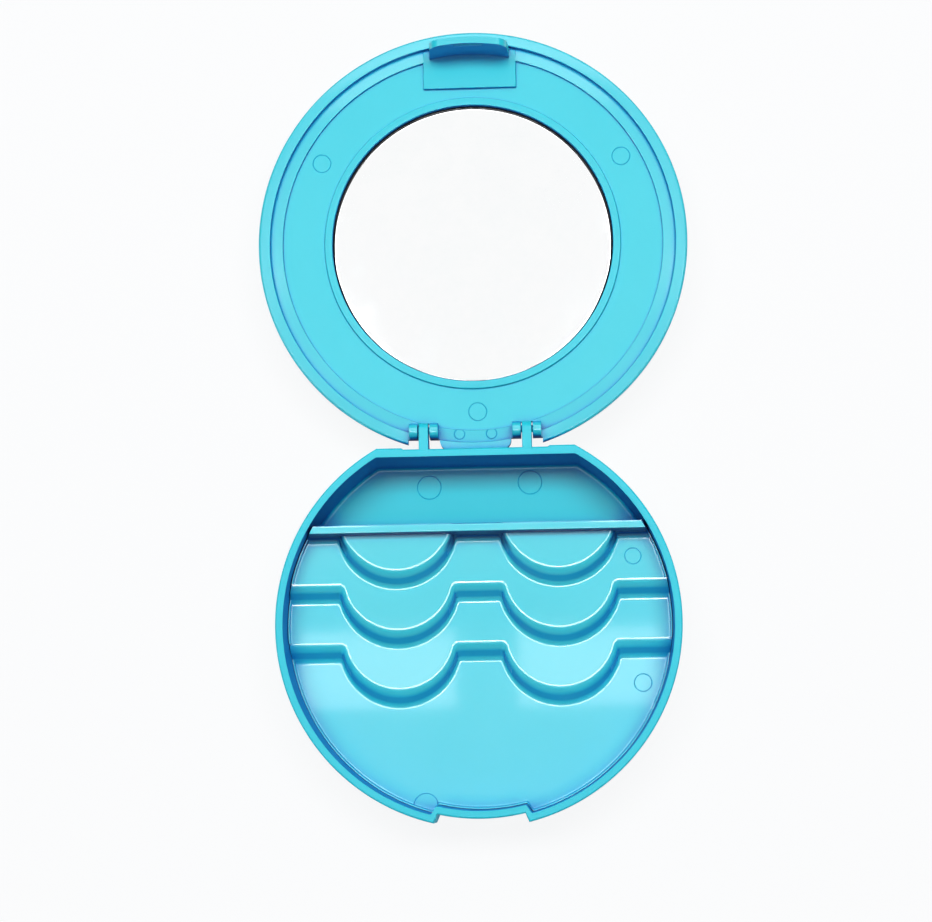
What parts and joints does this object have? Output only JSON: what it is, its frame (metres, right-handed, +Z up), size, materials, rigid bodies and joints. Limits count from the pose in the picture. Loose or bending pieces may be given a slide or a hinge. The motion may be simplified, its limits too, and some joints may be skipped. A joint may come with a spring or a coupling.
{
  "type": "false eyelash case",
  "caption": "Round flip-top case for strip lashes, with a stepped lash tray, a rear compartment and a round mirror in its snap-hinged lid.",
  "frame": {"origin": "middle of the base's flat underside, on the table", "axes": "+Z up, +Y from the front notch towards the hinge and the open lid, +X to the right seen from the front"},
  "size_m": [0.1082, 0.1994, 0.0239],
  "materials": {
    "case_plastic": "glossy moulded sky-blue plastic",
    "tray_plastic": "glossy moulded sky-blue plastic",
    "mirror_glass": "silvered glass with a ground edge",
    "black_adhesive": "black double-sided foam tape"
  },
  "bodies": {
    "base": {"base_shell": "case_plastic", "lash_tray": "tray_plastic"},
    "lid": {"lid_shell": "case_plastic", "mirror": "mirror_glass", "mirror_adhesive": "black_adhesive"}
  },
  "joints": [
    {"name": "lid_hinge", "type": "hinge", "parent": "base", "child": "lid", "pos_m": [0, 0.0482, 0.016], "axis": [1, 0, 0], "range_deg": [0, 180]}
  ]
}
